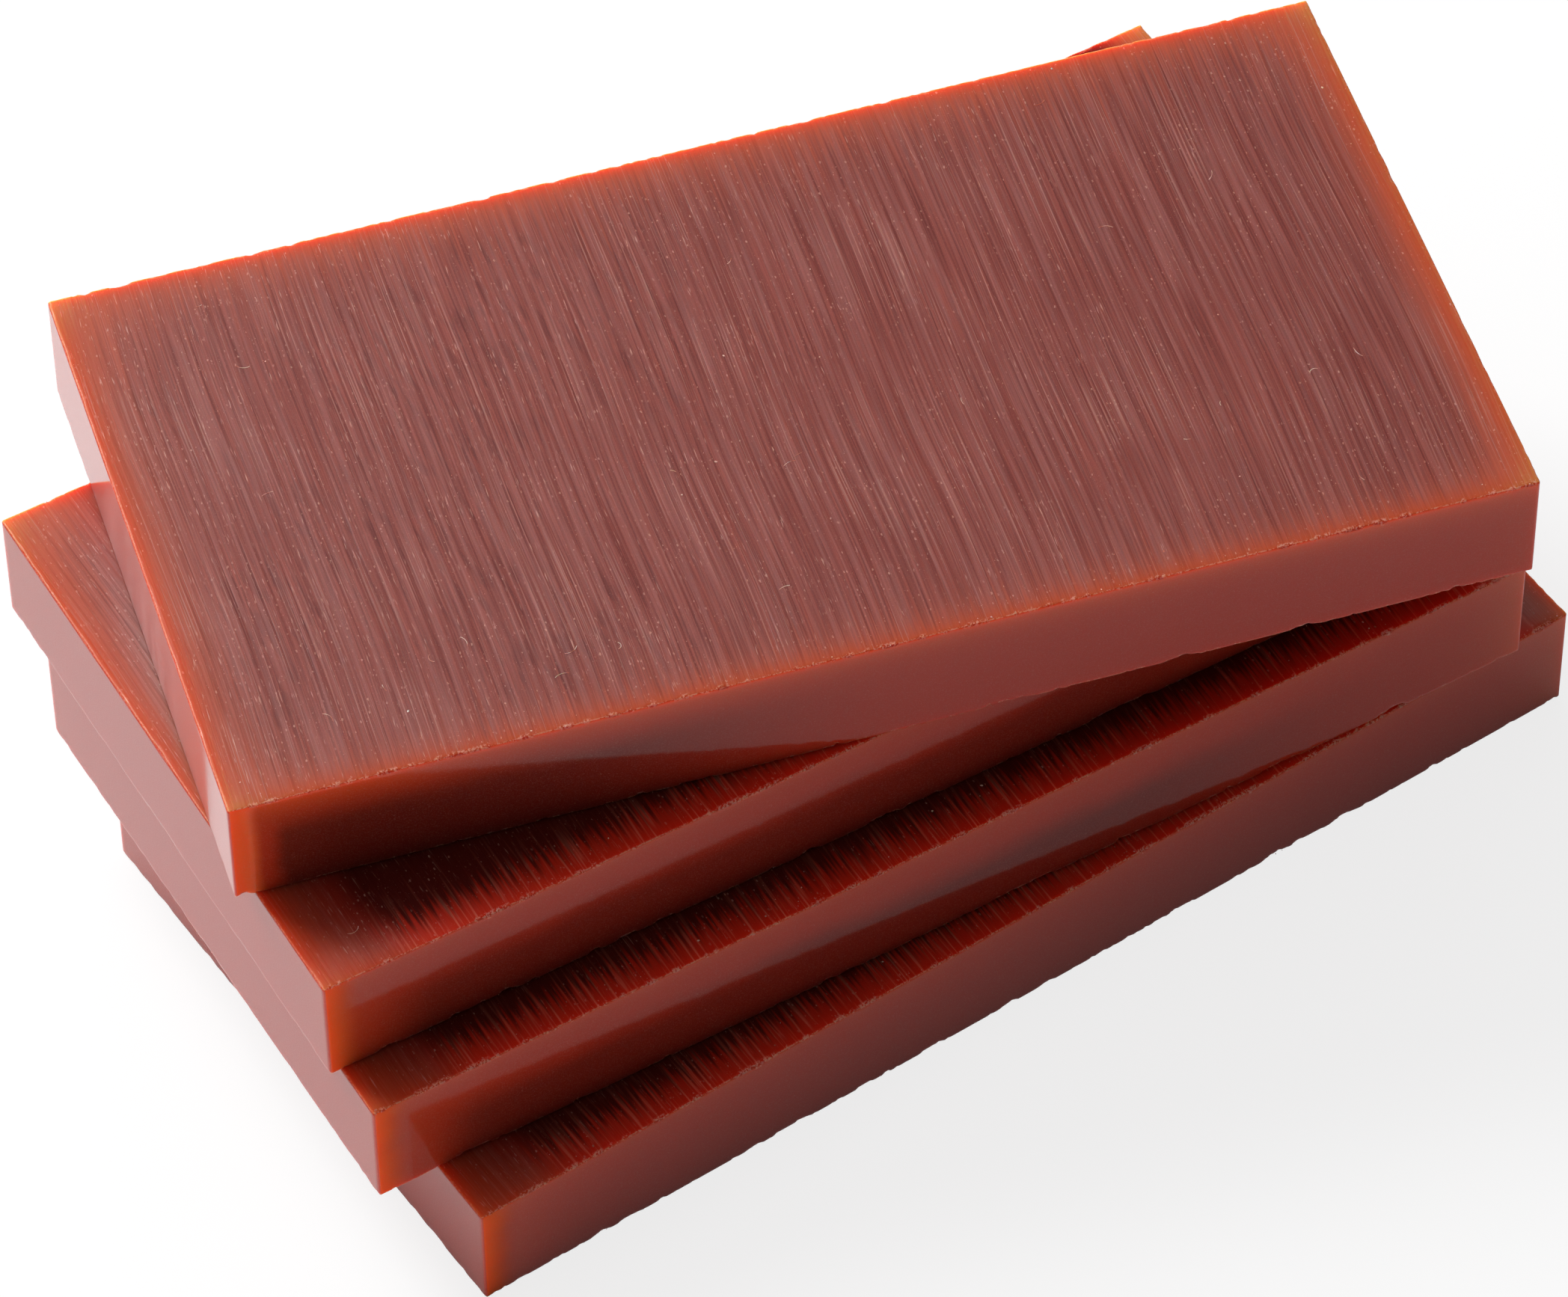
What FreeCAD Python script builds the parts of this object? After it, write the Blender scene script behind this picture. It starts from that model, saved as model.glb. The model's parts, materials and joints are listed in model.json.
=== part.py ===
import FreeCAD, Part

import math
import os

# A stack of four bars of cleaning clay, each lying loose on the one below.
#
# A bar is a slab sawn from a cast block: two large sawn faces, above and below,
# and four smooth sides. All four bars come from the same block size. Each one
# lies a little askew on the bar that carries it, so that the stack fans out and
# the bars can be picked off one at a time from the top.
#
# Millimetres, +Z up. The origin is the middle of the bottom bar's underside, and
# +X runs along that bar.

# One bar
bar_length = 140.0
bar_width = 71.5
bar_thickness = 14.2
corner_radius = 0.3   # the four upright corners, slightly worn
edge_break = 0.2      # along all the edges of the sawn faces

# How each bar lies on the one below: the shift of its middle along X and Y, in
# the frame of the whole stack, and its turn about the vertical, from the bar
# below, positive anticlockwise from above.
stack = [
    # name, shift along X, shift along Y, turn in degrees
    ("bottom_bar", 0.0, 0.0, 0.0),
    ("lower_middle_bar", -4.8, 3.5, -3.86),
    ("upper_middle_bar", -0.6, 6.0, -0.54),
    ("top_bar", 3.8, -1.5, -12.5),
]


def upright(edge):
    """Whether an edge of a slab runs straight up."""
    first, last = edge.Vertexes[0].Point, edge.Vertexes[-1].Point
    return math.hypot(first.x - last.x, first.y - last.y) < 1e-6


def round_the_sawn_face(edge, height):
    """Whether an edge lies all along the plane of a sawn face at this height."""
    return all(abs(vertex.Z - height) < 1e-6 for vertex in edge.Vertexes)


def clay_bar():
    """One bar, its middle over the origin and its underside at height zero."""
    corner = FreeCAD.Vector(-bar_length / 2, -bar_width / 2, 0)
    slab = Part.makeBox(bar_length, bar_width, bar_thickness, corner)
    uprights = [edge for edge in slab.Edges if upright(edge)]
    slab = slab.makeFillet(corner_radius, uprights)
    rims = [
        edge
        for edge in slab.Edges
        if round_the_sawn_face(edge, 0) or round_the_sawn_face(edge, bar_thickness)
    ]
    return slab.makeChamfer(edge_break, rims)


def placed(bar, middle_x, middle_y, turn, level):
    """A copy of the bar in its place in the stack."""
    laid = bar.copy()
    place = FreeCAD.Vector(middle_x, middle_y, level)
    upward = FreeCAD.Vector(0, 0, 1)
    laid.Placement = FreeCAD.Placement(place, FreeCAD.Rotation(upward, turn))
    return laid


def build():
    """Writes one STEP file for each bar, from the bottom of the stack up."""
    os.makedirs("parts", exist_ok=True)
    bar = clay_bar()
    middle_x = middle_y = turn = level = 0.0
    for name, shift_x, shift_y, turned in stack:
        middle_x += shift_x
        middle_y += shift_y
        turn += turned
        laid = placed(bar, middle_x, middle_y, turn, level)
        laid.exportStep(os.path.join("parts", name + ".step"))
        print(f"{name}: middle {middle_x:.1f}, {middle_y:.1f}, turn {turn:.2f}, "
              f"level {level:.1f}, volume {laid.Volume / 1000:.1f} cm3, valid {laid.isValid()}")
        level += bar_thickness


build()
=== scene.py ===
"""The looks of a stack of four loose bars of cleaning clay.

Each bar is a slab sawn from a cast block of translucent red-brown clay. Its two
large faces carry saw marks, crumbs and shavings, its four sides are smooth, and
light that enters near an edge comes out again as an orange glow. That glow is partly
the clay's real translucency and partly painted light in its colour, and the dark of
its front walls and of faces that another bar covers is painted shade.
"""

import itertools
import json
import logging
import math
from dataclasses import dataclass
from enum import Enum
from typing import Any

import bmesh
import bpy
import numpy as np
from mathutils import Matrix, Quaternion, Vector

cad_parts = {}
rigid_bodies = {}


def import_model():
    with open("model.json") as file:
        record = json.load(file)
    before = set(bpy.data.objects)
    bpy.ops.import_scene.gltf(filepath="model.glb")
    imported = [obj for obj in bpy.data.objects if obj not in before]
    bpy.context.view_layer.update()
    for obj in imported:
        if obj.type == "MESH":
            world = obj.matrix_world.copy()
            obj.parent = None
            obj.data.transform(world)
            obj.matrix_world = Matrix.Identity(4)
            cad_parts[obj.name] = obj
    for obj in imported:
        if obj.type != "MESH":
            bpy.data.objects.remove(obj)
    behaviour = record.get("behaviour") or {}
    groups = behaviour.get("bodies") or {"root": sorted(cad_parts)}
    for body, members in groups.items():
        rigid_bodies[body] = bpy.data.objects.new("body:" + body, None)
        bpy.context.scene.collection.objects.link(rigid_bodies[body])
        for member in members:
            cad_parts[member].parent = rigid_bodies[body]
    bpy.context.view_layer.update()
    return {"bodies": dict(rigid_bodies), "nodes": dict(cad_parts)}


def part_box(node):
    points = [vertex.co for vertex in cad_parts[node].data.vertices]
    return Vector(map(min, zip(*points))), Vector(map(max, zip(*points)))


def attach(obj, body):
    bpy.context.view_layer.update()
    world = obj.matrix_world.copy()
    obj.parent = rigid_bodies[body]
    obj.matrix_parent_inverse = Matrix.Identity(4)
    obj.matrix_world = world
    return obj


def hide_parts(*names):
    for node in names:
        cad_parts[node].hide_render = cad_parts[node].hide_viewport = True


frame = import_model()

log = logging.getLogger("clay_bars")

MM = 0.001


class Rim(Enum):
    """Which rim of a bar an edge belongs to."""

    UPPER = 1
    LOWER = -1


class Surface(Enum):
    """How a surface of a bar was made."""

    SAWN = "sawn"
    CAST = "cast"


# ---------------------------------------------------------------------------
# Shader maths
# ---------------------------------------------------------------------------


@dataclass(frozen=True)
class Streak:
    """Noise drawn out into streaks: which slice of the noise, and their size in millimetres."""

    slice: float
    width: float
    length: float


class Wire:
    """An output of a node, on which plain arithmetic adds Math nodes."""

    def __init__(self, bench: "Bench", socket: bpy.types.NodeSocket) -> None:
        """Wraps one output socket of the bench's node tree."""
        self.bench = bench
        self.socket = socket

    def __add__(self, other: "Wire | float") -> "Wire":
        """The sum."""
        return self.bench.maths("ADD", self, other)

    def __sub__(self, other: "Wire | float") -> "Wire":
        """The difference."""
        return self.bench.maths("SUBTRACT", self, other)

    def __mul__(self, other: "Wire | float") -> "Wire":
        """The product."""
        return self.bench.maths("MULTIPLY", self, other)

    def __rsub__(self, other: float) -> "Wire":
        """A number less this value."""
        return self.bench.maths("SUBTRACT", other, self)

    __radd__ = __add__
    __rmul__ = __mul__


class Bench:
    """The node tree of a material or a world, and the ways to add nodes to it."""

    def __init__(self, tree: bpy.types.NodeTree) -> None:
        """Takes a node tree and empties it."""
        self.tree = tree
        tree.nodes.clear()

    def add(self, kind: str, settings: dict[str, Any] | None = None,
            values: dict[Any, Any] | None = None, out: Any = 0) -> Wire:
        """Adds one node.

        Args:
            kind: the node's type.
            settings: its own settings, which are set first.
            values: numbers, colours or wires for its inputs, by name or number.
            out: the name or number of the output to give back.

        Returns:
            The output as a wire.
        """
        node = self.tree.nodes.new(kind)
        for name, value in (settings or {}).items():
            setattr(node, name, value)
        for name, value in (values or {}).items():
            if isinstance(value, Wire):
                self.tree.links.new(value.socket, node.inputs[name])
            else:
                node.inputs[name].default_value = value
        return Wire(self, node.outputs[out])

    def maths(self, operation: str, *values: "Wire | float") -> Wire:
        """A Math node on up to three values."""
        return self.add("ShaderNodeMath", {"operation": operation}, dict(enumerate(values)))

    def ramp(self, value: Wire, low: float, high: float, start: float = 0.0,
             end: float = 1.0) -> Wire:
        """Maps a value smoothly from one span to another and holds it there.

        Args:
            value: the value.
            low: the value that becomes the start.
            high: the value that becomes the end, which may be the lower one.
            start: the result at low.
            end: the result at high.

        Returns:
            The mapped value.
        """
        return self.add("ShaderNodeMapRange", {"interpolation_type": "SMOOTHSTEP"},
                        {"Value": value, "From Min": low, "From Max": high,
                         "To Min": start, "To Max": end})

    def mix(self, factor: "Wire | float", first: Any, second: Any) -> Wire:
        """Blends two colours by a factor."""
        return self.add("ShaderNodeMix", {"data_type": "RGBA"}, {0: factor, 6: first, 7: second}, 2)

    def scaled(self, vector: Wire, by: tuple[float, float, float],
               shift: tuple[float, float, float] = (0.0, 0.0, 0.0)) -> Wire:
        """A vector times one factor per axis, and shifted after that."""
        return self.add("ShaderNodeMapping", None,
                        {"Vector": vector, "Scale": by, "Location": shift})

    def split(self, vector: Wire) -> list[Wire]:
        """The three parts of a vector."""
        node = self.add("ShaderNodeSeparateXYZ", None, {"Vector": vector}).socket.node
        return [Wire(self, part) for part in node.outputs]

    def seen(self, by_camera: float, by_reflection: float) -> Wire:
        """How much clean white a ray sees instead of the surface or the room.

        Args:
            by_camera: the share for rays from the camera.
            by_reflection: the share for reflected and refracted rays.

        Returns:
            The share for the ray at hand, which is nothing for light that falls on a surface.
        """
        camera, glossy, transmission = (
            self.add("ShaderNodeLightPath", out=f"Is {kind} Ray")
            for kind in ("Camera", "Glossy", "Transmission"))
        return camera * by_camera + (glossy + transmission) * by_reflection

    def finish(self, shader: Wire) -> None:
        """Joins a shader to a new output node.

        Args:
            shader: the shader of the surface, or the light of the world.
        """
        world = any(data.node_tree == self.tree for data in bpy.data.worlds if data.use_nodes)
        kind = "ShaderNodeOutputWorld" if world else "ShaderNodeOutputMaterial"
        output = self.tree.nodes.new(kind)
        self.tree.links.new(shader.socket, output.inputs["Surface"])

    def fade(self, distance: Wire, reach: float) -> Wire:
        """Falls from one to nothing with distance, to a third at the reach."""
        return self.maths("EXPONENT", distance * (-1.0 / reach))

    def streak(self, across: Wire, along: Wire, shift: float, kind: Streak) -> Wire:
        """Noise drawn out into streaks.

        Args:
            across: the distance across the streaks, in millimetres.
            along: the distance along them.
            shift: moves to another part of the noise, so that no two bars are alike.
            kind: the streaks' slice of the noise and their size.

        Returns:
            A value from about 0 to 1.
        """
        spot = self.add("ShaderNodeCombineXYZ", None,
                        {"X": across * (1.0 / kind.width), "Y": along * (1.0 / kind.length),
                         "Z": shift + kind.slice})
        return self.noise(spot, 1.0)

    def noise(self, vector: Wire, detail: float = 2.0, roughness: float = 0.5,
              scale: float = 1.0) -> Wire:
        """Noise on a vector.

        Args:
            vector: where it is read.
            detail: how many finer octaves it has.
            roughness: how strong each is beside the one before.
            scale: a factor on the vector.

        Returns:
            A value from about 0 to 1.
        """
        return self.add("ShaderNodeTexNoise", None,
                        {"Vector": vector, "Scale": scale, "Detail": detail,
                         "Roughness": roughness})


# ---------------------------------------------------------------------------
# Repeatable noise for shaping meshes
# ---------------------------------------------------------------------------


@dataclass(frozen=True)
class Grain:
    """Smooth noise from -1 to 1 on a lattice, the same on every run."""

    seed: int

    def _corner(self, cells: list[np.ndarray]) -> np.ndarray:
        """The lattice's random values.

        Args:
            cells: the whole-numbered coordinates of the cells, one array for each axis.

        Returns:
            One value for each cell, from -1 to 1.
        """
        mixed = np.full(cells[0].shape, self.seed * 2654435761 % 2**32, np.uint64)
        for factor, cell in zip((73856093, 19349663), cells):
            mixed = (mixed ^ (cell.astype(np.int64) * factor).astype(np.uint64)) & 0xFFFFFFFF
            mixed = mixed * np.uint64(2246822519) & np.uint64(0xFFFFFFFF)
            mixed ^= mixed >> np.uint64(13)
        return mixed.astype(np.float64) / 2**31 - 1.0

    def at(self, along: np.ndarray, across: np.ndarray | None = None) -> np.ndarray:
        """The noise at places given in lattice cells.

        Args:
            along: the first coordinate.
            across: the second one, or nothing for noise along a line.

        Returns:
            One value for each place.
        """
        coords = [along] if across is None else [along, across]
        floors = [np.floor(c) for c in coords]
        eased = [(c - f) ** 2 * (3 - 2 * (c - f)) for c, f in zip(coords, floors)]
        total = np.zeros_like(along)
        for corner in range(2 ** len(coords)):
            steps = [corner >> axis & 1 for axis in range(len(coords))]
            weight = np.ones_like(along)
            for step, ease in zip(steps, eased):
                weight = weight * (ease if step else 1 - ease)
            total += weight * self._corner([f + step for f, step in zip(floors, steps)])
        return total


# ---------------------------------------------------------------------------
# The clay
# ---------------------------------------------------------------------------


@dataclass(frozen=True)
class GlowReach:
    """How far the light that enters at each wall of a bar glows inwards, in millimetres."""

    back: float = 4.2
    left: float = 3.6
    right: float = 2.8
    front: float = 3.0


@dataclass(frozen=True)
class SurfaceFinish:
    """What differs between the surfaces of a bar.

    That is how rough and how glossy they are, how deep light goes in and how many
    pale specks they carry.
    """

    roughness: float
    ior: float
    depth: float
    specks: float


@dataclass(frozen=True)
class BarLight:
    """Where light and shade show in one bar. Distances are in millimetres.

    The painted glow at the left corner of the front is corner_glow wide, blurred over
    corner_blur, and corner_spread scales the softer painted light round it. The painted
    deep shade of the front starts deep_under its upper rim, grows up to deep_from from
    a corner and ends deep_to along the bar. The rest are strengths of painted light and
    shade, and covered is whether another bar lies on this one and so whether its upper
    face gets the painted glow and shade of a covered face.
    bar lies on this one.
    """

    corner_glow: float = 1.9
    corner_blur: float = 2.2
    corner_spread: float = 1.0
    # how strong the painted shade of the front wall is
    wall_shade_strength: float = 0.85
    front_glow: float = 0.40
    deep_from: float = 13.0
    deep_to: float = 60.0
    deep_under: float = 4.0
    rim_light: float = 0.25
    covered: float = 1.0


# painted light and shade that differ from bar to bar
BAR_LIGHTS = {
    "bottom_bar": BarLight(wall_shade_strength=0.10),
    "top_bar": BarLight(corner_glow=2.6, corner_blur=0.9, corner_spread=0.35, wall_shade_strength=1.0,
                        front_glow=0.50, deep_from=6.0, deep_to=5.0, deep_under=2.0,
                        rim_light=0.65, covered=0.0),
}


@dataclass(frozen=True)
class SawMarks:
    """The marks of the saw on one face, each from about 0 to 1."""

    lines: Wire
    hair: Wire
    bands: Wire
    ripples: Wire
    scratches: Wire
    rays: Wire
    threads: Wire
    film: Wire
    flares: Wire
    dust: Wire


@dataclass(frozen=True)
class ClayFinish:
    """Translucent clay: rough and scored where sawn, smooth where cast.

    Colours are those of the clay under even white light, except the glows, shades and
    highlights, which are painted light and shade. Patterns are measured in
    millimetres along, across and up through the bar.
    """

    wall: tuple[float, float, float, float] = (0.44, 0.024, 0.006, 1.0)
    # painted shade of the lower front walls and of the left end walls
    painted_wall_shade: tuple[float, float, float, float] = (0.145, 0.008, 0.004, 1.0)
    # painted light round the upright corners of the walls
    painted_corner_light: tuple[float, float, float, float] = (0.64, 0.085, 0.018, 1.0)
    # painted glow of the left front corner strip and just under the upper rim
    painted_wall_glow: tuple[float, float, float, float] = (0.95, 0.130, 0.018, 1.0)
    sawn_dark: tuple[float, float, float, float] = (0.110, 0.006, 0.003, 1.0)
    sawn_light: tuple[float, float, float, float] = (0.270, 0.048, 0.030, 1.0)
    # painted deep red glow of a face that another bar covers
    painted_ledge_red: tuple[float, float, float, float] = (0.540, 0.018, 0.004, 1.0)
    # painted shadow on a covered face near the bar that lies above
    painted_ledge_shadow: tuple[float, float, float, float] = (0.045, 0.003, 0.002, 1.0)
    # frost: partly the whitish colour of the rough sawn surface, partly painted sheen
    frost: tuple[float, float, float, float] = (0.300, 0.105, 0.090, 1.0)
    # ember and glow: painted light that shows through the sawn faces near their edges
    ember: tuple[float, float, float, float] = (0.38, 0.056, 0.014, 1.0)
    glow: tuple[float, float, float, float] = (0.44, 0.150, 0.036, 1.0)
    crumb: tuple[float, float, float, float] = (0.66, 0.34, 0.26, 1.0)
    thread: tuple[float, float, float, float] = (0.42, 0.190, 0.155, 1.0)
    # painted highlight streaks near the front rim of a covered face
    painted_flare: tuple[float, float, float, float] = (0.80, 0.260, 0.160, 1.0)
    crumb_dark: tuple[float, float, float, float] = (0.42, 0.10, 0.05, 1.0)
    crumb_light: tuple[float, float, float, float] = (0.82, 0.52, 0.42, 1.0)
    reach: tuple[float, float, float] = (1.0, 0.25, 0.10)
    inner_ior: float = 1.15
    inner_roughness: float = 0.4
    relief: float = 0.05 * MM
    glow_reach: GlowReach = GlowReach()
    sawn: SurfaceFinish = SurfaceFinish(0.30, 1.52, 6.0 * MM, 0.45)
    cast: SurfaceFinish = SurfaceFinish(0.09, 1.42, 2.5 * MM, 0.14)

    def material(self, bar: "SawnBar", surface: Surface) -> bpy.types.Material:
        """Makes the clay of one bar's sawn or cast surface.

        Args:
            bar: the bar, whose length and width the patterns follow.
            surface: which of its surfaces the clay is for.

        Returns:
            The material.
        """
        clay = bpy.data.materials.new(f"{surface.value}_clay_{bar.name}")
        clay.use_nodes = True
        bench = Bench(clay.node_tree)
        place = bench.add("ShaderNodeTexCoord", out="Object")
        local = bench.add("ShaderNodeMapping", {"vector_type": "TEXTURE"},
                          {"Vector": place, "Location": bar.middle,
                           "Rotation": (0.0, 0.0, bar.turn), "Scale": (MM, MM, MM)})
        paint = self.paint_sawn if surface is Surface.SAWN else self.paint_cast
        finish = self.sawn if surface is Surface.SAWN else self.cast
        colour, height, sheen = paint(bench, bar, local)
        chipped = bench.add("ShaderNodeAttribute", {"attribute_name": "chipped"}, out="Fac")
        crumbly = chipped * bench.ramp(bench.noise(local, 2.0, 0.6, 4.5), 0.43, 0.58)
        specks = self.specks(bench, local, finish.specks)
        pale = bench.maths("MAXIMUM", specks, crumbly * 0.8)
        colour = bench.mix(pale, colour, self.crumb)
        fine = bench.noise(local, 3.0, 0.65, 4.0)
        bump = bench.add("ShaderNodeBump", None,
                         {"Strength": 1.0, "Distance": self.relief,
                          "Height": height + fine * 0.07 + pale * 0.35})
        shader = bench.add("ShaderNodeBsdfPrincipled", {"subsurface_method": "RANDOM_WALK"},
                           {"Base Color": colour, "IOR": self.inner_ior,
                            "Roughness": self.inner_roughness,
                            "Coat Weight": sheen * (1.0 - chipped * 0.7),
                            "Coat IOR": finish.ior, "Coat Roughness": finish.roughness,
                            "Subsurface Weight": 1.0, "Subsurface Radius": self.reach,
                            "Subsurface Scale": finish.depth, "Normal": bump})
        bench.finish(shader)
        return clay

    def paint_sawn(self, bench: Bench, bar: "SawnBar", local: Wire) -> tuple[Wire, Wire, Wire]:
        """Paints a sawn face: its saw marks, the painted light near its edges and the painted glow
        and shade of its covered part.

        Args:
            bench: the node tree of the clay.
            bar: the bar that the face is on.
            local: the place on the bar, in millimetres from the middle of its underside.

        Returns:
            The colour, the height and the sheen.
        """
        x, y, _ = bench.split(local)
        marks = self.saw_marks(bench, bar, local)
        colour = self.scored_colour(bench, x, marks)
        # painted light: the glow near the edges of the sawn face, mixed in as ember and glow
        glow = self.face_glow(bench, bar, x, y, 1.9 - marks.rays * 1.8) * (0.90 + marks.lines * 0.20)
        colour = bench.mix(bench.ramp(glow, 0.0, 0.55), colour, self.ember)
        colour = bench.mix(bench.ramp(glow, 0.45, 1.30), colour, self.glow)
        colour = bench.mix(marks.threads * 0.52, colour, self.thread)
        half_length, half_width = bar.half_sides()
        front = half_width + y
        colour, painted_ledge_red = self.cover(bench, bar, marks, colour, half_length + x, front)
        colour = bench.mix(marks.scratches * (0.45 - painted_ledge_red * 0.20), colour, self.crumb)
        height = (marks.lines * 0.15 + marks.hair * 0.09 + marks.scratches * 0.15
                  - marks.ripples * 0.22 + marks.dust * 0.10)
        ends = half_length - bench.maths("ABSOLUTE", x)
        rim = bench.maths("MINIMUM", bench.maths("MINIMUM", half_width - y, ends), front)
        sheen = ((0.46 + marks.film * 0.28 + marks.lines * 0.24 + marks.scratches * 0.5)
                 * (1.0 - painted_ledge_red * 0.80) * bench.ramp(rim, -1.6, 3.0))
        return colour, height, sheen

    def saw_marks(self, bench: Bench, bar: "SawnBar", local: Wire) -> "SawMarks":
        """Draws every kind of mark that the saw leaves on a face.

        Args:
            bench: the node tree of the clay.
            bar: the bar that the face is on, whose number makes its marks its own.
            local: the place on the bar, in millimetres.

        Returns:
            The marks, each from about 0 to 1.
        """
        x, y, _ = bench.split(local)
        shift = 37.0 * bar.seed
        sway = bench.noise(bench.scaled(local, (0.012, 0.03, 0.3), (shift, 0.0, 0.0)), 0.0)
        drawn = x + sway * 1.6

        def marked(across: Wire, kind: Streak, low: float, high: float) -> Wire:
            """One kind of mark, made crisp between two levels of its noise."""
            return bench.ramp(bench.streak(across, y, shift, kind), low, high)

        patch = bench.noise(bench.scaled(local, (0.035, 0.03, 0.1), (shift, 3.0, 0.0)), 1.0)
        return SawMarks(
            lines=marked(drawn, Streak(0.0, 0.24, 30.0), 0.30, 0.70),
            hair=marked(drawn, Streak(5.0, 0.12, 12.0), 0.30, 0.70),
            bands=bench.streak(drawn, y, shift, Streak(9.0, 1.3, 40.0)),
            ripples=(marked(drawn + y * 0.11, Streak(13.0, 0.80, 5.5), 0.50, 0.66)
                     * bench.ramp(patch - x * 0.0022, 0.42, 0.62)),
            scratches=(marked(drawn, Streak(21.0, 0.18, 2.2), 0.64, 0.78)
                       * bench.ramp(bench.streak(x, y, shift, Streak(31.0, 3.0, 7.0)) - x * 0.0015,
                                    0.44, 0.60)),
            rays=bench.streak(drawn, y, shift, Streak(41.0, 0.45, 16.0)),
            threads=(marked(drawn, Streak(51.0, 0.17, 34.0), 0.55, 0.72)
                     * marked(x, Streak(61.0, 9.0, 16.0), 0.35, 0.60)),
            film=bench.streak(drawn, y, shift, Streak(71.0, 0.7, 24.0)),
            flares=marked(drawn, Streak(81.0, 0.35, 9.0), 0.52, 0.72),
            dust=bench.noise(local, 1.0, 0.5, 6.5))

    def scored_colour(self, bench: Bench, x: Wire, marks: "SawMarks") -> Wire:
        """The colour of a sawn face away from its edges, under a thin pale frost that is partly the
        rough surface's own whitish colour and partly painted sheen.
        """
        # the last term makes the face darker towards its right end: painted shade
        light = (0.46 + (marks.lines - 0.5) * 0.36 + (marks.hair - 0.5) * 0.34
                 + (marks.bands - 0.5) * 0.32 - marks.ripples * 0.26 + (marks.dust - 0.5) * 0.5
                 - x * 0.0012)
        colour = bench.mix(bench.ramp(light, -0.15, 1.15), self.sawn_dark, self.sawn_light)
        # pale frost, partly painted sheen, along the film of the saw marks
        frosted = bench.ramp(marks.film, 0.42, 0.68) * 0.42
        return bench.mix(frosted * (0.55 + marks.dust * 0.5), colour, self.frost)

    def cover(self, bench: Bench, bar: "SawnBar", marks: "SawMarks", colour: Wire,
              from_left: Wire, from_front: Wire) -> tuple[Wire, Wire]:
        """Paints shade and light on the face of a bar that another bar lies on: a deep red painted
        glow, a painted shadow near the bar above and painted highlight streaks by the front rim.

        Args:
            bench: the node tree of the clay.
            bar: the bar that the face is on.
            marks: the face's saw marks.
            colour: the face's colour so far.
            from_left: the distance from the bar's left end, in millimetres.
            from_front: the distance from its front side.

        Returns:
            The new colour, and how strongly the painted glow and shade apply, from 0 to 1.
        """
        near_front = bench.ramp(from_front, 26.0, 16.0)
        behind_rim = bench.maths("MINIMUM", from_front, 8.0) * near_front
        inside = bench.ramp(from_left + behind_rim * 0.5, 5.0, 14.0)
        from_right = 2.0 * bar.half_sides()[0] - from_left
        # where the painted glow and shade of the covered face lie
        painted_ledge_red = (bench.maths("MAXIMUM", inside, near_front * 0.30)
                   * bench.ramp(from_right, 2.0, 7.0) * bar.light.covered)
        ragged = bench.ramp(marks.rays, 0.34, 0.64) * 2.4
        # painted shadow away from the front rim, near the bar that lies above
        painted_shadow_mask = bench.ramp(from_front + ragged, 3.0, 6.2) * inside * painted_ledge_red
        # painted deep red glow, then the painted shadow
        colour = bench.mix(painted_ledge_red * 0.85, colour, self.painted_ledge_red)
        colour = bench.mix(painted_shadow_mask * 0.90, colour, self.painted_ledge_shadow)
        # painted highlight streaks near the front rim
        painted_flare = marks.flares * bench.fade(from_front, 3.6) * painted_ledge_red
        return bench.mix(painted_flare * 0.50, colour, self.painted_flare), painted_ledge_red

    def paint_cast(self, bench: Bench, bar: "SawnBar", local: Wire) -> tuple[Wire, Wire, Wire]:
        """Paints a cast wall: its painted deep shade, the painted light at its corners and under its
        upper rim, and its rims.

        Args:
            bench: the node tree of the clay.
            bar: the bar that the wall is on.
            local: the place on the bar, in millimetres from the middle of its underside.

        Returns:
            The colour, the height and the sheen.
        """
        x, y, z = bench.split(local)
        light = bar.light
        half_length, half_width = bar.half_sides()
        upper = bar.thickness / MM - z
        corner = bench.maths("MAXIMUM", half_length - bench.maths("ABSOLUTE", x),
                             half_width - bench.maths("ABSOLUTE", y))
        facing_front = bench.ramp(y, 0.05 - half_width, -half_width)
        facing_left = bench.ramp(x, 0.05 - half_length, -half_length)
        leftward = bench.ramp(x, half_length * 0.5, half_length * 0.1)
        cloud = bench.noise(bench.scaled(local, (0.10, 0.10, 0.22), (11.0 * bar.seed, 0.0, 0.0)))
        wave = corner + (cloud - 0.5) * 1.6
        # painted shade: the front wall darkens below its upper rim and away from its corners
        deep = (bench.ramp(wave, light.corner_glow + 1.0, light.deep_from)
                * bench.ramp(upper + cloud * 2.0, light.deep_under, light.deep_under + 5.5)
                * bench.ramp(x, light.deep_to, light.deep_to - 45.0))
        colour = bench.mix(deep * facing_front * light.wall_shade_strength, self.wall, self.painted_wall_shade)
        # painted light: a soft orange glow round the corners
        soft = (bench.fade(corner, 4.4) * (0.45 + (1.0 - leftward) * 0.25) * (facing_front + 0.3)
                * light.corner_spread)
        colour = bench.mix(soft, colour, self.painted_corner_light)
        # painted light: a bright strip at the left front corner
        strip = bench.ramp(wave, light.corner_glow + light.corner_blur,
                           light.corner_glow - light.corner_blur)
        colour = bench.mix(strip * leftward * facing_front * 0.85, colour, self.painted_wall_glow)
        # painted light just under the upper rim of the front wall
        lit = bench.fade(upper, 1.8) * facing_front * light.rim_light
        colour = bench.mix(lit, colour, self.painted_wall_glow)
        ragged = bench.ramp(bench.noise(local, 1.0, 0.6, 1.6), 0.46, 0.60)
        rim = bench.fade(upper, 0.5) * 0.30 + bench.ramp(z, 0.40, 0.15) * ragged * 0.6
        colour = bench.mix(rim, colour, self.crumb_dark)
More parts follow.
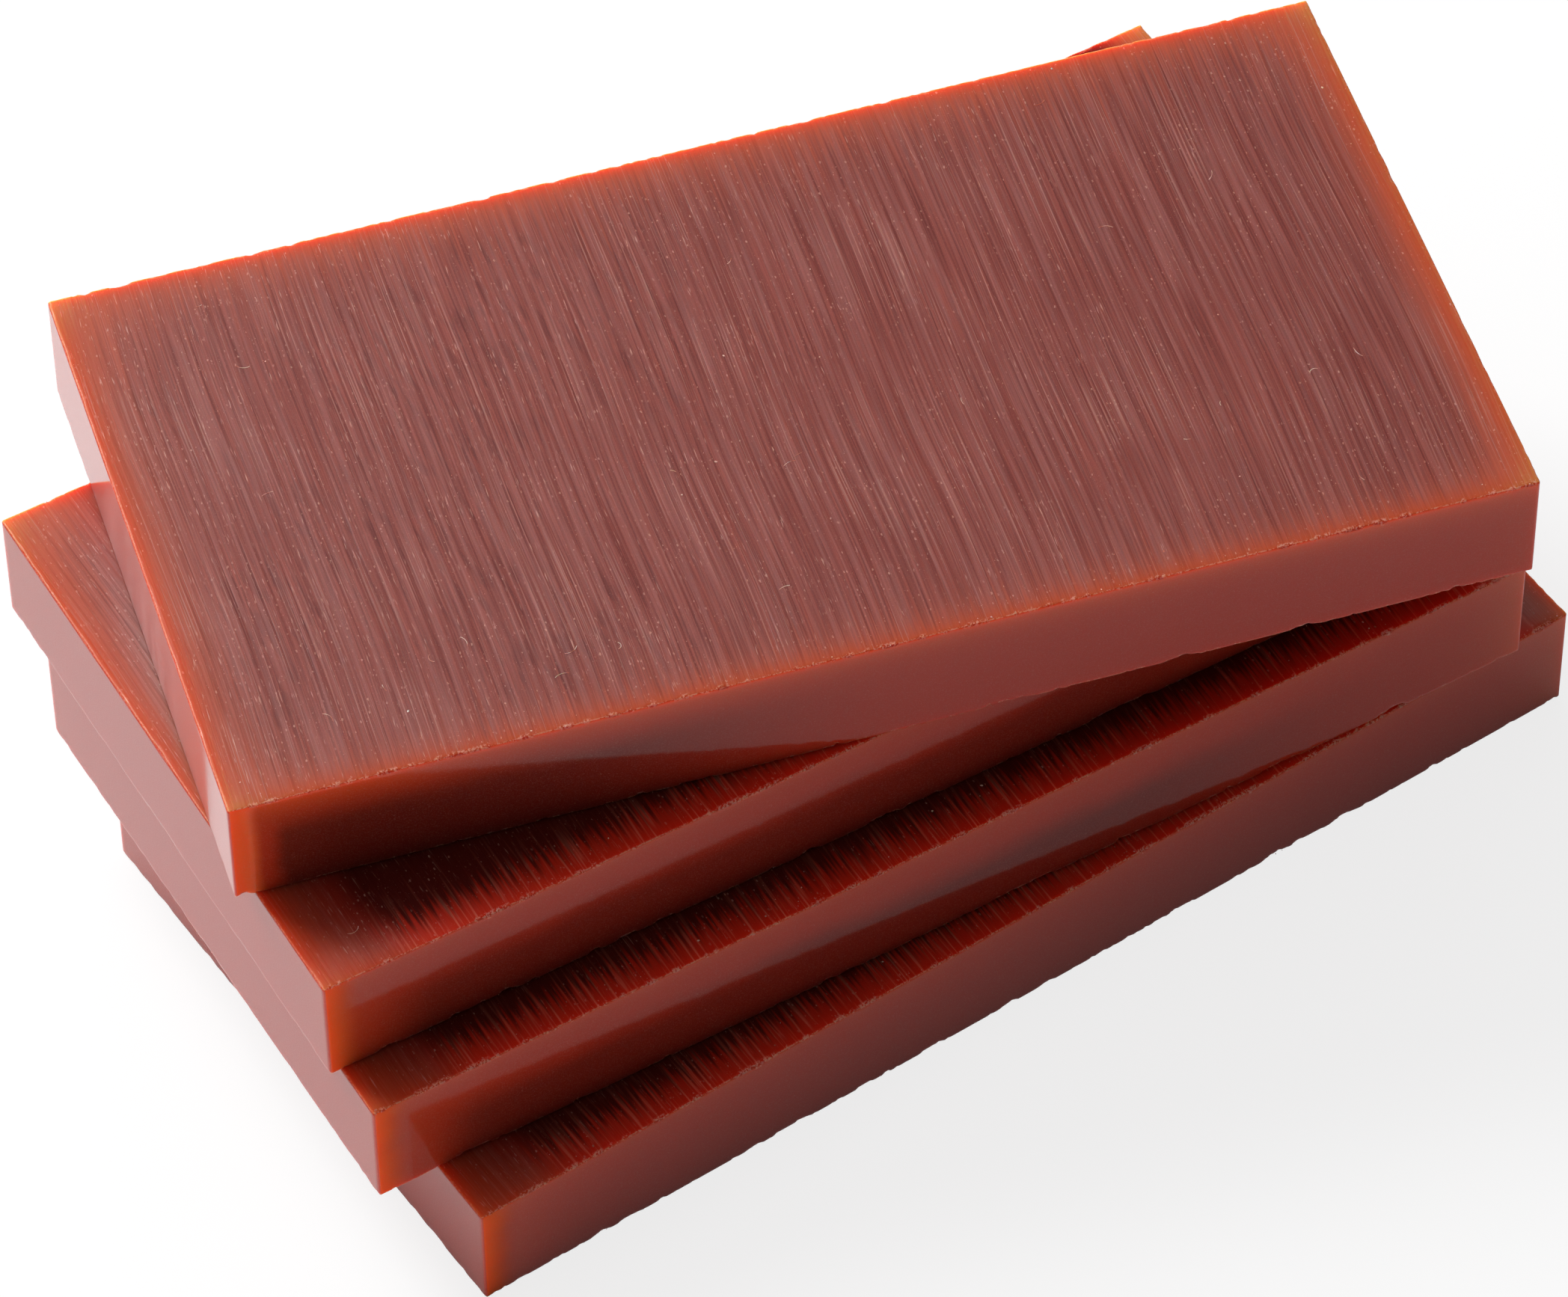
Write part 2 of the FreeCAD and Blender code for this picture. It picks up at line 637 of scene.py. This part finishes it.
        # painted shade on the left end walls
        colour = bench.mix(facing_left * 0.43, colour, self.painted_wall_shade)
        dust = bench.ramp(bench.noise(local, 1.0, 0.6, 7.0), 0.45, 0.80)
        colour = bench.mix(dust * 0.10, colour, self.crumb)
        drawn = bench.noise(bench.scaled(local, (2.2, 2.2, 0.12), (5.0, 0.0, 0.0)), 2.0)
        hazy = 1.0 - bench.ramp(wave, 4.5, 1.0) * leftward
        sheen = bench.maths("MAXIMUM", hazy, 1.0 - facing_front) * (1.0 - facing_left * 0.22)
        return colour, drawn * 0.10, sheen * bench.ramp(upper, -0.1, 0.6)

    def face_glow(self, bench: Bench, bar: "SawnBar", x: Wire, y: Wire, rays: Wire) -> Wire:
        """How much light from the four walls comes through a sawn face near them.

        Args:
            bench: the node tree of the clay.
            bar: the bar that the face is on.
            x: the place along the bar, in millimetres from its middle.
            y: the place across it.
            rays: a factor on the distance from the long sides, which makes the light ragged.

        Returns:
            The light, which is nearly nothing in the face's middle.
        """
        reach = self.glow_reach
        half_length, half_width = bar.half_sides()
        # painted light that stands in for light coming through near each wall
        return (bench.fade((half_width - y) * rays, reach.back) * 0.60
                + bench.fade(half_length + x, reach.left) * 0.66
                + bench.fade(half_length - x, reach.right) * 0.80
                + bench.fade((half_width + y) * rays, reach.front) * bar.light.front_glow)

    def crumb_material(self) -> bpy.types.Material:
        """Makes the paler clay of crumbs and shavings, thin enough for light to pass.

        Returns:
            The material.
        """
        pale = bpy.data.materials.new("crumb_clay")
        pale.use_nodes = True
        bench = Bench(pale.node_tree)
        place = bench.add("ShaderNodeTexCoord", out="Object")
        spread = bench.ramp(bench.noise(place, 1.0, 0.5, 900.0), 0.35, 0.65)
        shader = bench.add("ShaderNodeBsdfPrincipled", {"subsurface_method": "RANDOM_WALK"},
                           {"Base Color": bench.mix(spread, self.crumb_dark, self.crumb_light),
                            "IOR": 1.45, "Roughness": 0.45, "Subsurface Weight": 1.0,
                            "Subsurface Radius": self.reach, "Subsurface Scale": 0.2 * MM})
        bench.finish(shader)
        return pale

    def specks(self, bench: Bench, local: Wire, share: float) -> Wire:
        """Small pale grains stuck to a face.

        Args:
            bench: the node tree of the clay.
            local: the place on the bar, in millimetres.
            share: how much of a grain's colour shows, from 0 to 1.

        Returns:
            How pale the face is, from 0 to 1.
        """
        warp = bench.add("ShaderNodeTexNoise", None, {"Vector": local, "Scale": 3.0}, "Color")
        bent = bench.add("ShaderNodeVectorMath", {"operation": "MULTIPLY_ADD"},
                         {0: warp, 1: (0.22, 0.22, 0.22), 2: local})
        total = None
        for scale, size in ((0.7, 0.40), (1.7, 0.30)):
            cells = bench.add("ShaderNodeTexVoronoi", None,
                              {"Vector": bench.scaled(bent, (scale, scale * 0.55, scale))},
                              "Distance")
            tint = Wire(bench, cells.socket.node.outputs["Color"])
            chance, glint, _ = bench.split(tint)
            radius = bench.maths("POWER", chance, 5.0) * size
            speck = bench.ramp(radius - cells, 0.0, 0.05) * (0.35 + glint * 0.65)
            total = speck if total is None else bench.maths("MAXIMUM", total, speck)
        dense = bench.noise(bench.scaled(local, (0.12, 0.12, 0.12)), 1.0)
        return total * bench.ramp(dense, 0.25, 0.60) * share


# ---------------------------------------------------------------------------
# Bars
# ---------------------------------------------------------------------------


@dataclass(frozen=True)
class RimWear:
    """How far one rim of a sawn face has crumbled away, in millimetres."""

    everywhere: float
    crumbly: float
    bites: float
    gaps: float


RIM_WEAR = {Rim.UPPER: RimWear(0.10, 0.16, 0.40, 0.25), Rim.LOWER: RimWear(0.10, 0.20, 0.55, 1.00)}


@dataclass
class SawnBar:
    """One bar of clay, sawn above and below and cast on its four sides."""

    name: str
    seed: int
    length: float
    width: float
    thickness: float
    light: BarLight = BarLight()
    columns: int = 420
    rows: int = 72
    layers: int = 26
    corner_radius: float = 0.3 * MM
    grading: tuple[tuple[float, float], ...] = ((0.28, 1.3), (0.09, 1.6), (0.16, 1.7))
    end_bites: float = 0.5
    end_gaps: float = 0.3
    hidden_chips: float = 0.3
    mark_depth: float = 0.050
    mark_fade: float = 0.12

    def __post_init__(self) -> None:
        """Reads where the bar lies from its node of the frame."""
        low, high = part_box(self.name)
        self.middle = Vector(((low.x + high.x) / 2, (low.y + high.y) / 2, low.z))
        points = np.array([v.co[:2] for v in frame["nodes"][self.name].data.vertices])
        points = np.unique(np.round(points, 6), axis=0) - np.array(self.middle[:2])
        spread = np.cov(points.T)
        self.turn = 0.5 * math.atan2(2 * spread[0, 1], spread[0, 0] - spread[1, 1])

    def half_sides(self) -> tuple[float, float]:
        """Half the length and half the width, in millimetres."""
        return self.length / 2 / MM, self.width / 2 / MM

    def block(self) -> bmesh.types.BMesh:
        """Makes a closed box of unit size, cut into columns, rows and layers.

        Returns:
            The box.
        """
        block = bmesh.new()
        bmesh.ops.create_cube(block, size=1.0)
        for axis, parts in enumerate((self.columns, self.rows, self.layers)):
            along = [edge for edge in block.edges
                     if abs(edge.verts[0].co[axis] - edge.verts[1].co[axis]) > 0.5]
            bmesh.ops.subdivide_edges(block, edges=along, cuts=parts - 1, use_grid_fill=True)
        return block

    @staticmethod
    def graded(share: np.ndarray, size: float, edge_share: float, power: float) -> np.ndarray:
        """Spreads places from -0.5 to 0.5 over a size, closer together near both ends.

        Args:
            share: the places before.
            size: the size that they are spread over.
            edge_share: the spacing at an end, as a share of the mean spacing.
            power: how quickly the spacing opens up.

        Returns:
            The places after.
        """
        inward = np.clip(1 - 2 * np.abs(share), 0, 1)
        depth = edge_share * inward + (1 - edge_share) * inward**power
        return np.sign(share) * size / 2 * (1 - depth)

    def shaped(self, unit: np.ndarray) -> tuple[np.ndarray, np.ndarray]:
        """Turns the unit box's points into a bar with worn edges and scored faces.

        Args:
            unit: the points of the box, each from -0.5 to 0.5.

        Returns:
            The points in the bar's own frame, in millimetres, and how chipped each is.
        """
        size = np.array((self.length, self.width, self.thickness)) / MM
        spot = np.empty_like(unit)
        for axis, (share, power) in enumerate(self.grading):
            spot[:, axis] = self.graded(unit[:, axis], size[axis], share, power)
        spot[:, 2] += size[2] / 2
        self.round_corners(spot, size)
        chipped = np.zeros(len(spot))
        for rim, across, side in itertools.product(Rim, (0, 1), (-1, 1)):
            chipped = np.maximum(chipped, self.chip(spot, size, rim, across, side))
        self.score(spot, size)
        return spot, chipped

    def round_corners(self, spot: np.ndarray, size: np.ndarray) -> None:
        """Rounds the four upright corners.

        Args:
            spot: the bar's points, which are moved in place.
            size: the bar's length, width and thickness.
        """
        radius = self.corner_radius / MM
        inner = size[:2] / 2 - radius
        over = np.abs(spot[:, :2]) - inner
        corner = (over > 0).all(axis=1)
        reach = over[corner]
        round_off = reach.max(axis=1) / np.maximum(np.hypot(*reach.T), 1e-9)
        spot[corner, :2] = np.sign(spot[corner, :2]) * (inner + reach * round_off[:, None])

    def chip(self, spot: np.ndarray, size: np.ndarray, rim: Rim, across: int,
             side: int) -> np.ndarray:
        """Chips one edge of a sawn face.

        Args:
            spot: the bar's points, which are moved in place.
            size: the bar's length, width and thickness.
            rim: the upper or the lower rim.
            across: the axis that the edge's wall faces, 0 for an end, 1 for a side.
            side: -1 or 1, which of the two walls.

        Returns:
            How chipped each point is, from 0 to 1.
        """
        grain = Grain(self.seed * 16 + (rim is Rim.UPPER) * 4 + across * 2 + (side > 0))
        along = spot[:, 1 - across]
        crumbly = np.clip(grain.at(along / 0.55 + 40), 0, 1)
        bites = np.clip(grain.at(along / 1.5 + 90) - 0.35, 0, 1)
        gaps = np.clip(grain.at(along / 4.5 + 10) - 0.45, 0, 1)
        if across == 0:
            bites, gaps = bites * self.end_bites, gaps * self.end_gaps
        wear = RIM_WEAR[rim]
        cut = wear.everywhere + wear.crumbly * crumbly + wear.bites * bites + wear.gaps * gaps
        inward = size[across] / 2 - side * spot[:, across]
        down = size[2] - spot[:, 2] if rim is Rim.UPPER else spot[:, 2]
        near = (inward + down < cut) & (inward > -1e-6) & (down > -1e-6)
        a, b, c = inward[near], down[near], cut[near]
        on_face = b <= a
        new_a = np.where(on_face, (c + a) / 2, (c - b) / 2)
        new_b = np.where(on_face, (c - a) / 2, (c + b) / 2)
        spot[near, across] = side * (size[across] / 2 - new_a)
        spot[near, 2] = size[2] - new_b if rim is Rim.UPPER else new_b
        chipped = np.zeros(len(spot))
        chipped[near] = 1.0 if across == 1 and side == -1 else self.hidden_chips
        return chipped

    def score(self, spot: np.ndarray, size: np.ndarray) -> None:
        """Cuts the saw's marks into both sawn faces, only inwards.

        Args:
            spot: the bar's points, which are moved in place.
            size: the bar's length, width and thickness.
        """
        for number, rim in enumerate(Rim):
            down = size[2] - spot[:, 2] if rim is Rim.UPPER else spot[:, 2]
            face = np.clip(1 - down / self.mark_fade, 0, 1)
            grain = Grain(self.seed * 16 + 8 + number)
            x, y = spot[:, 0], spot[:, 1]
            sway = 0.6 * grain.at(y / 45 + 5, x / 80)
            fine = grain.at((x + sway) / 0.7, y / 26)
            broad = grain.at((x + sway) / 2.1 + 50, y / 40)
            patch = np.clip(grain.at(x / 26 + 9, y / 30) + 0.1, 0, 1)
            ripple = grain.at((x + 0.10 * y) / 0.9 + 200, y / 7)
            depth = self.mark_depth + 0.008 * fine + 0.010 * broad + 0.014 * patch * ripple
            spot[:, 2] -= rim.value * face * depth

    def build(self, finish: ClayFinish) -> bpy.types.Object:
        """Makes the bar's piece and puts it in the place of its node.

        Args:
            finish: the clay that the bar is made of.

        Returns:
            The piece.
        """
        block = self.block()
        mesh = bpy.data.meshes.new(self.name + "_clay")
        block.to_mesh(mesh)
        block.free()
        facing = np.empty(len(mesh.polygons) * 3)
        mesh.polygons.foreach_get("normal", facing)
        walls = np.abs(facing.reshape(-1, 3)[:, 2]) < 0.5
        unit = np.empty(len(mesh.vertices) * 3)
        mesh.vertices.foreach_get("co", unit)
        spot, chipped = self.shaped(unit.reshape(-1, 3))
        mesh.vertices.foreach_set("co", (spot * MM).ravel())
        worn = mesh.attributes.new("chipped", "FLOAT", "POINT")
        worn.data.foreach_set("value", chipped.astype(np.float32))
        mesh.transform(Matrix.Translation(self.middle) @ Matrix.Rotation(self.turn, 4, "Z"))
        mesh.polygons.foreach_set("use_smooth", np.ones(len(mesh.polygons), bool))
        for surface in Surface:
            mesh.materials.append(finish.material(self, surface))
        mesh.polygons.foreach_set("material_index", walls.astype(np.int32))
        mesh.update()
        piece = bpy.data.objects.new(self.name + "_clay", mesh)
        bpy.context.scene.collection.objects.link(piece)
        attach(piece, self.name)
        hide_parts(self.name)
        return piece


@dataclass(frozen=True)
class SawDust:
    """Crumbs and fine curled shavings left by the saw on one bar. Sizes are in millimetres."""

    bar: SawnBar
    rim_crumbs: int = 190
    face_crumbs: int = 180
    clumps: int = 60
    shavings: int = 26
    edge_room: float = 0.4
    shaving_room: float = 4.0
    shaving_radius: float = 0.035
    shaving_flatness: float = 0.55

    def crumb(self, dust: bmesh.types.BMesh, spot: Vector, size: Vector, turn: float) -> None:
        """Adds one crumb.

        Args:
            dust: the mesh that it is added to.
            spot: its middle in the bar's frame.
            size: its half sizes.
            turn: how far it is turned about the upright axis.
        """
        place = (Matrix.Translation(spot) @ Matrix.Rotation(turn, 4, "Z")
                 @ Matrix.Diagonal(size).to_4x4())
        bmesh.ops.create_icosphere(dust, subdivisions=1, radius=1.0, matrix=place)

    def shaving(self, dust: bmesh.types.BMesh, spot: Vector, heading: float, bend: float,
                length: float) -> None:
        """Adds one hair-like shaving that lies flat in a curve.

        Args:
            dust: the mesh that it is added to.
            spot: the end where it starts.
            heading: the direction that the curve's centre lies in.
            bend: the curve's radius.
            length: the shaving's length along the curve.
        """
        toward = Vector((math.cos(heading), math.sin(heading), 0.0))
        upright = (Matrix.Translation(spot) @ Matrix.Rotation(heading, 4, "Z")
                   @ Matrix.Diagonal((1.0, 1.0, self.shaving_flatness, 1.0))
                   @ Matrix.Rotation(math.pi / 2, 4, "X"))
        ring = bmesh.ops.create_circle(dust, cap_ends=True, segments=4,
                                       radius=self.shaving_radius, matrix=upright)
        faces = {face for vert in ring["verts"] for face in vert.link_faces}
        edges = {edge for vert in ring["verts"] for edge in vert.link_edges}
        bmesh.ops.spin(dust, geom=[*ring["verts"], *edges, *faces], cent=spot + toward * bend,
                       axis=(0.0, 0.0, 1.0), angle=length / bend, steps=6, use_duplicate=False)

    def litter_rims(self, dust: bmesh.types.BMesh, chance: np.random.Generator) -> None:
        """Scatters crumbs along the rims of both sawn faces.

        Args:
            dust: the mesh that they are added to.
            chance: where the random numbers come from.
        """
        half, top = self.bar.half_sides(), self.bar.thickness / MM
        for _ in range(self.rim_crumbs):
            upper = chance.random() < 0.65
            size = Vector(chance.uniform((0.03, 0.03, 0.03), (0.10, 0.10, 0.07)))
            along = int(chance.random() < half[1] / sum(half))
            spot = Vector((chance.uniform(-half[0], half[0]), chance.uniform(-half[1], half[1]), 0.0))
            edge = half[along] - 0.11 - abs(chance.normal(0.0, 0.20 if upper else 0.03))
            spot[along] = chance.choice((-1, 1)) * edge
            spot.z = top - 0.12 if upper else 0.12
            self.crumb(dust, spot, size, chance.uniform(0.0, math.tau))

    def litter_faces(self, dust: bmesh.types.BMesh, chance: np.random.Generator) -> None:
        """Scatters crumbs over both sawn faces, in loose clumps and near the front rim.

        Args:
            dust: the mesh that they are added to.
            chance: where the random numbers come from.
        """
        half, top = self.bar.half_sides(), self.bar.thickness / MM
        clumps = chance.uniform((-half[0], -half[1]), half, (self.clumps, 2))
        limit = [side - self.edge_room for side in half]
        for number in range(self.face_crumbs):
            wide = 0.035 + 0.105 * chance.random() ** 4
            size = Vector((wide * chance.uniform(0.6, 1.6), wide, 0.045))
            upper = chance.random() < 0.7
            x, y = clumps[number % self.clumps] + chance.normal((0.0, 0.0), (0.35, 4.0))
            if number % 4 == 0:
                x = chance.uniform(-half[0], half[0])
                y = abs(chance.normal(0.0, 2.5)) - half[1]
            spot = Vector((min(max(x, -limit[0]), limit[0]), min(max(y, -limit[1]), limit[1]),
                           top - 0.05 if upper else 0.05))
            self.crumb(dust, spot, size, chance.normal(math.pi / 2, 0.7))

    def litter_shavings(self, dust: bmesh.types.BMesh, chance: np.random.Generator) -> None:
        """Scatters curled shavings over the upper face.

        Args:
            dust: the mesh that they are added to.
            chance: where the random numbers come from.
        """
        half, top = self.bar.half_sides(), self.bar.thickness / MM
        limit = [side - self.shaving_room for side in half]
        for _ in range(self.shavings):
            spot = Vector((chance.uniform(-limit[0], limit[0]), chance.uniform(-limit[1], limit[1]),
                           top - 0.03))
            self.shaving(dust, spot, chance.uniform(0.0, math.tau), chance.uniform(0.4, 2.2),
                         chance.uniform(0.5, 1.7))

    def build(self, clay: bpy.types.Material) -> bpy.types.Object:
        """Makes the crumbs and the shavings of the bar, as one piece.

        Args:
            clay: the paler clay that they are made of.

        Returns:
            The piece.
        """
        chance = np.random.default_rng(self.bar.seed)
        dust = bmesh.new()
        self.litter_rims(dust, chance)
        self.litter_faces(dust, chance)
        self.litter_shavings(dust, chance)
        bmesh.ops.recalc_face_normals(dust, faces=dust.faces)
        mesh = bpy.data.meshes.new(self.bar.name + "_crumbs")
        dust.to_mesh(mesh)
        dust.free()
        mesh.transform(Matrix.Translation(self.bar.middle)
                       @ Matrix.Rotation(self.bar.turn, 4, "Z") @ Matrix.Scale(MM, 4))
        mesh.materials.append(clay)
        piece = bpy.data.objects.new(self.bar.name + "_crumbs", mesh)
        bpy.context.scene.collection.objects.link(piece)
        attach(piece, self.bar.name)
        return piece


# ---------------------------------------------------------------------------
# Studio
# ---------------------------------------------------------------------------


@dataclass(frozen=True)
class SquareLamp:
    """One square lamp: its name, its place, its size in metres and its power in watts."""

    name: str
    spot: tuple[float, float, float]
    size: float
    power: float


@dataclass
class Studio:
    """A pale floor, soft light and the camera.

    The room is dim before the stack and bright behind it, between two shares of the way
    towards the bright side. The paper and the room glow as clean white by the shares given
    for the camera's rays and for reflected ones.
    """

    floor_size: float = 6.0
    aim: tuple[float, float, float] = (-0.0096, -0.0027, 0.0308)
    distance: float = 0.93
    heading: float = math.radians(-33.87)
    elevation: float = math.radians(50.84)
    roll: float = math.radians(0.781)
    lens: float = 203.1
    film: float = 36.0
    paper_white: float = 0.86
    paper_glow: tuple[float, float] = (0.80, 0.12)
    room_glow: tuple[float, float] = (1.0, 0.15)
    bright_side: tuple[float, float, float] = (-0.35, 0.80, 0.49)
    bright_span: tuple[float, float] = (0.15, 0.95)
    dim: float = 0.13
    bright: float = 0.95
    lamps: tuple[SquareLamp, ...] = (
        SquareLamp("back_left_lamp", (-0.25, 0.87, 0.98), 0.6, 19.5),)

    def camera(self) -> None:
        """Sets up the camera."""
        view = Vector((-math.sin(self.heading) * math.cos(self.elevation),
                       math.cos(self.heading) * math.cos(self.elevation),
                       -math.sin(self.elevation)))
        data = bpy.data.cameras.new("camera")
        data.lens = self.lens
        data.sensor_width = self.film
        data.clip_start = 0.05
        eye = bpy.data.objects.new("camera", data)
        eye.location = Vector(self.aim) - view * self.distance
        eye.rotation_mode = "QUATERNION"
        eye.rotation_quaternion = Quaternion(view, self.roll) @ view.to_track_quat("-Z", "Y")
        bpy.context.scene.collection.objects.link(eye)
        bpy.context.scene.camera = eye

    def floor(self) -> None:
        """Lays the floor."""
        sheet = bmesh.new()
        bmesh.ops.create_grid(sheet, x_segments=1, y_segments=1, size=self.floor_size / 2)
        mesh = bpy.data.meshes.new("floor")
        sheet.to_mesh(mesh)
        sheet.free()
        mesh.materials.append(self.paper())
        piece = bpy.data.objects.new("floor", mesh)
        bpy.context.scene.collection.objects.link(piece)

    def paper(self) -> bpy.types.Material:
        """Makes white paper that keeps a light shadow.

        Returns:
            The material.
        """
        paper = bpy.data.materials.new("paper")
        paper.use_nodes = True
        bench = Bench(paper.node_tree)
        lit = bench.add("ShaderNodeBsdfDiffuse", None, {"Color": (*[self.paper_white] * 3, 1.0)})
        clean = bench.add("ShaderNodeEmission")
        bench.finish(bench.add("ShaderNodeMixShader", None,
                               {0: bench.seen(*self.paper_glow), 1: lit, 2: clean}))
        return paper

    def world(self) -> None:
        """Fills the room with soft white light, brighter behind the stack than before it."""
        world = bpy.data.worlds.new("room")
        bpy.context.scene.world = world
        world.use_nodes = True
        bench = Bench(world.node_tree)
        direction = bench.add("ShaderNodeTexCoord", out="Generated")
        behind = bench.add("ShaderNodeVectorMath", {"operation": "DOT_PRODUCT"},
                           {0: direction, 1: self.bright_side}, "Value")
        soft = bench.ramp(behind, *self.bright_span, self.dim, self.bright)
        strength = soft + (1.0 - soft) * bench.seen(*self.room_glow)
        bench.finish(bench.add("ShaderNodeBackground", None,
                               {"Color": (1.0, 1.0, 1.0, 1.0), "Strength": strength}))

    def hang(self, lamp: SquareLamp) -> None:
        """Hangs one lamp, so that it faces the stack.

        Args:
            lamp: the lamp.
        """
        data = bpy.data.lights.new(lamp.name, "AREA")
        data.size = lamp.size
        data.energy = lamp.power
        light = bpy.data.objects.new(lamp.name, data)
        light.location = lamp.spot
        light.rotation_mode = "QUATERNION"
        toward = Vector(self.aim) - Vector(lamp.spot)
        light.rotation_quaternion = toward.to_track_quat("-Z", "Y")
        bpy.context.scene.collection.objects.link(light)

    def build(self) -> None:
        """Sets the whole studio up."""
        self.floor()
        self.world()
        self.camera()
        for lamp in self.lamps:
            self.hang(lamp)


def main() -> None:
    """Builds the bars and the studio."""
    logging.basicConfig(level=logging.INFO, format="%(name)s %(message)s")
    low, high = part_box("bottom_bar")
    length, width, thickness = high - low
    finish = ClayFinish()
    crumbs = finish.crumb_material()
    names = sorted(frame["bodies"], key=lambda body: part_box(body)[0].z)
    for seed, name in enumerate(names, start=1):
        light = BAR_LIGHTS.get(name, BarLight())
        bar = SawnBar(name, seed, length, width, thickness, light)
        log.info("%s is turned %.2f degrees", name, math.degrees(bar.turn))
        for piece in (bar.build(finish), SawDust(bar).build(crumbs)):
            log.info("%s: %d faces", piece.name, len(piece.data.polygons))
    Studio().build()
    bpy.context.scene.view_settings.view_transform = "Standard"


if __name__ == "__main__":
    main()
